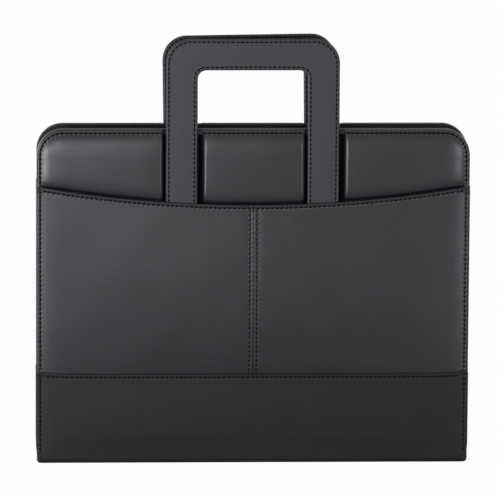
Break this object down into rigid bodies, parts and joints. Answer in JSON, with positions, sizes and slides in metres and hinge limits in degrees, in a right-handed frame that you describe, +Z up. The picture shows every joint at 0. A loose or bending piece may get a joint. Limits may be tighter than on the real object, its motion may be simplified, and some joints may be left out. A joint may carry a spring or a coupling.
{
  "type": "zippered compendium",
  "caption": "Zip-around compendium that stands on its spine, with padded leather-look covers, outside pockets and two pull-out arch handles.",
  "frame": {"origin": "on the ground, under the middle of the spine's underside", "axes": "+Z up, +X along the spine to the right seen from the front, the front cover faces -Y"},
  "size_m": [0.355, 0.046, 0.3525],
  "materials": {
    "smooth_leather": "smooth satin black leather-look, fine grain",
    "handle_leather": "smooth satin black leather-look, edges turned and stitched",
    "band_leather": "smooth black leather-look, slightly more matt",
    "board": "grey-brown stiff board, covered",
    "lining": "fine black woven lining",
    "zip_tape": "black woven tape",
    "zip_coil": "black coil teeth",
    "dark_metal": "black-plated metal, satin",
    "paper": "white writing paper",
    "card": "grey-brown backing card",
    "binding": "dark paper tape",
    "elastic": "black elastic webbing"
  },
  "bodies": {
    "spine": {"spine_band": "band_leather", "spine_board": "board", "spine_lining": "lining"},
    "front_cover": {"front_shell": "smooth_leather", "front_pad_left": "smooth_leather", "front_pad_middle": "smooth_leather", "front_pad_right": "smooth_leather", "front_base_pad": "smooth_leather", "front_band": "band_leather", "front_board": "board", "front_lining": "lining", "front_zip_tape": "zip_tape", "front_zip_coil": "zip_coil", "front_pocket_left": "smooth_leather", "front_pocket_right": "smooth_leather", "document_pocket": "lining", "card_pocket_upper": "lining", "card_pocket_middle": "lining", "card_pocket_lower": "lining", "pen_loop": "elastic"},
    "back_cover": {"back_shell": "smooth_leather", "back_pad_left": "smooth_leather", "back_pad_middle": "smooth_leather", "back_pad_right": "smooth_leather", "back_base_pad": "smooth_leather", "back_band": "band_leather", "back_board": "board", "back_lining": "lining", "back_zip_tape": "zip_tape", "back_zip_coil": "zip_coil", "back_pocket": "smooth_leather", "zip_lower_stop": "dark_metal", "zip_upper_stop": "dark_metal", "pad_pocket": "lining", "pad_card": "card", "pad_sheets": "paper", "pad_binding": "binding"},
    "front_handle": {"front_handle": "handle_leather"},
    "back_handle": {"back_handle": "handle_leather"},
    "zip_slider": {"zip_slider": "dark_metal"},
    "zip_pull": {"zip_pull": "dark_metal"}
  },
  "joints": [
    {"name": "front_cover_hinge", "type": "hinge", "parent": "spine", "child": "front_cover", "pos_m": [0, -0.02225, 0.00075], "axis": [1, 0, 0], "range_deg": [0, 90]},
    {"name": "back_cover_hinge", "type": "hinge", "parent": "spine", "child": "back_cover", "pos_m": [0, 0.02225, 0.00075], "axis": [-1, 0, 0], "range_deg": [0, 90]},
    {"name": "front_handle_slide", "type": "slide", "parent": "front_cover", "child": "front_handle", "axis": [0, 0, 1], "range_m": [-0.045, 0]},
    {"name": "back_handle_slide", "type": "slide", "parent": "back_cover", "child": "back_handle", "axis": [-0.0157, 0, 0.9999], "range_m": [-0.042, 0]},
    {"name": "zip_slide", "type": "slide", "parent": "back_cover", "child": "zip_slider", "axis": [0, 0, 1], "range_m": [0, 0.2]},
    {"name": "zip_pull_swing", "type": "hinge", "parent": "zip_slider", "child": "zip_pull", "pos_m": [0.1755, 0, 0.042], "axis": [0, -1, 0], "range_deg": [0, 170]}
  ]
}
